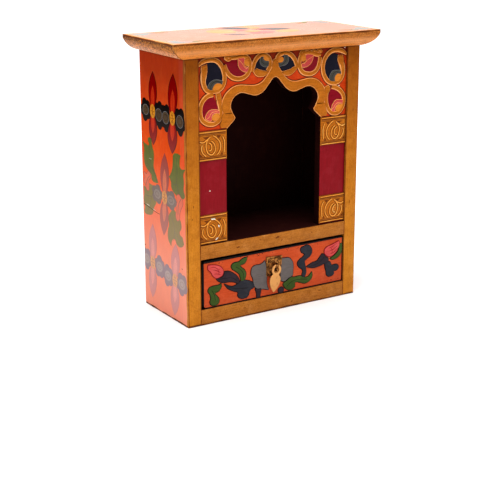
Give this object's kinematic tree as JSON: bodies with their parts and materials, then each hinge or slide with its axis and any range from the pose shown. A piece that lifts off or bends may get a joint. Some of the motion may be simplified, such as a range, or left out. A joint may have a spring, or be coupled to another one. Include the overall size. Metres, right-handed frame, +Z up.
{
  "type": "small wooden altar cabinet",
  "caption": "Small painted wooden altar: a carved cusped arch over a niche, a moulded top and a drawer with a hanging brass pull.",
  "frame": {"origin": "on the ground under the middle of the altar's overall box", "axes": "+Z up, +Y from the front to the back (the drawer opens towards -Y), +X to the right seen from the front"},
  "size_m": [0.256, 0.1094, 0.301],
  "materials": {
    "gold_paint": "brushed gold-ochre paint, worn at the edges",
    "side_paint": "orange-red paint over wood, with painted flowers",
    "carved_paint": "painted carving in orange, gold, crimson and blue-black",
    "pilaster_paint": "burgundy and gold paint on carved wood",
    "drawer_paint": "orange-red paint with carved and painted leaves",
    "dark_paint": "dark maroon stain",
    "bare_wood": "unpainted softwood",
    "plate_brass": "stamped, darkened brass",
    "drop_brass": "stamped brass, dull"
  },
  "bodies": {
    "cabinet": {"left_side": "side_paint", "right_side": "side_paint", "back_panel": "side_paint", "base_board": "bare_wood", "niche_floor": "dark_paint", "top_board": "gold_paint", "left_stile": "gold_paint", "right_stile": "gold_paint", "bottom_rail": "gold_paint", "middle_rail": "gold_paint", "left_pilaster": "pilaster_paint", "right_pilaster": "pilaster_paint", "arch_head": "carved_paint", "left_guide": "bare_wood", "right_guide": "bare_wood"},
    "drawer": {"drawer_front": "drawer_paint", "drawer_left_side": "bare_wood", "drawer_right_side": "bare_wood", "drawer_back": "bare_wood", "drawer_bottom": "bare_wood", "pull_plate": "plate_brass", "pull_eye": "drop_brass"},
    "pull": {"pull_drop": "drop_brass"}
  },
  "joints": [
    {"name": "drawer_slide", "type": "slide", "parent": "cabinet", "child": "drawer", "axis": [0, -1, 0], "range_m": [0, 0.06]},
    {"name": "pull_swing", "type": "hinge", "parent": "drawer", "child": "pull", "pos_m": [0.0006, -0.04661, 0.0524], "axis": [-1, 0, 0], "range_deg": [0, 160]}
  ]
}
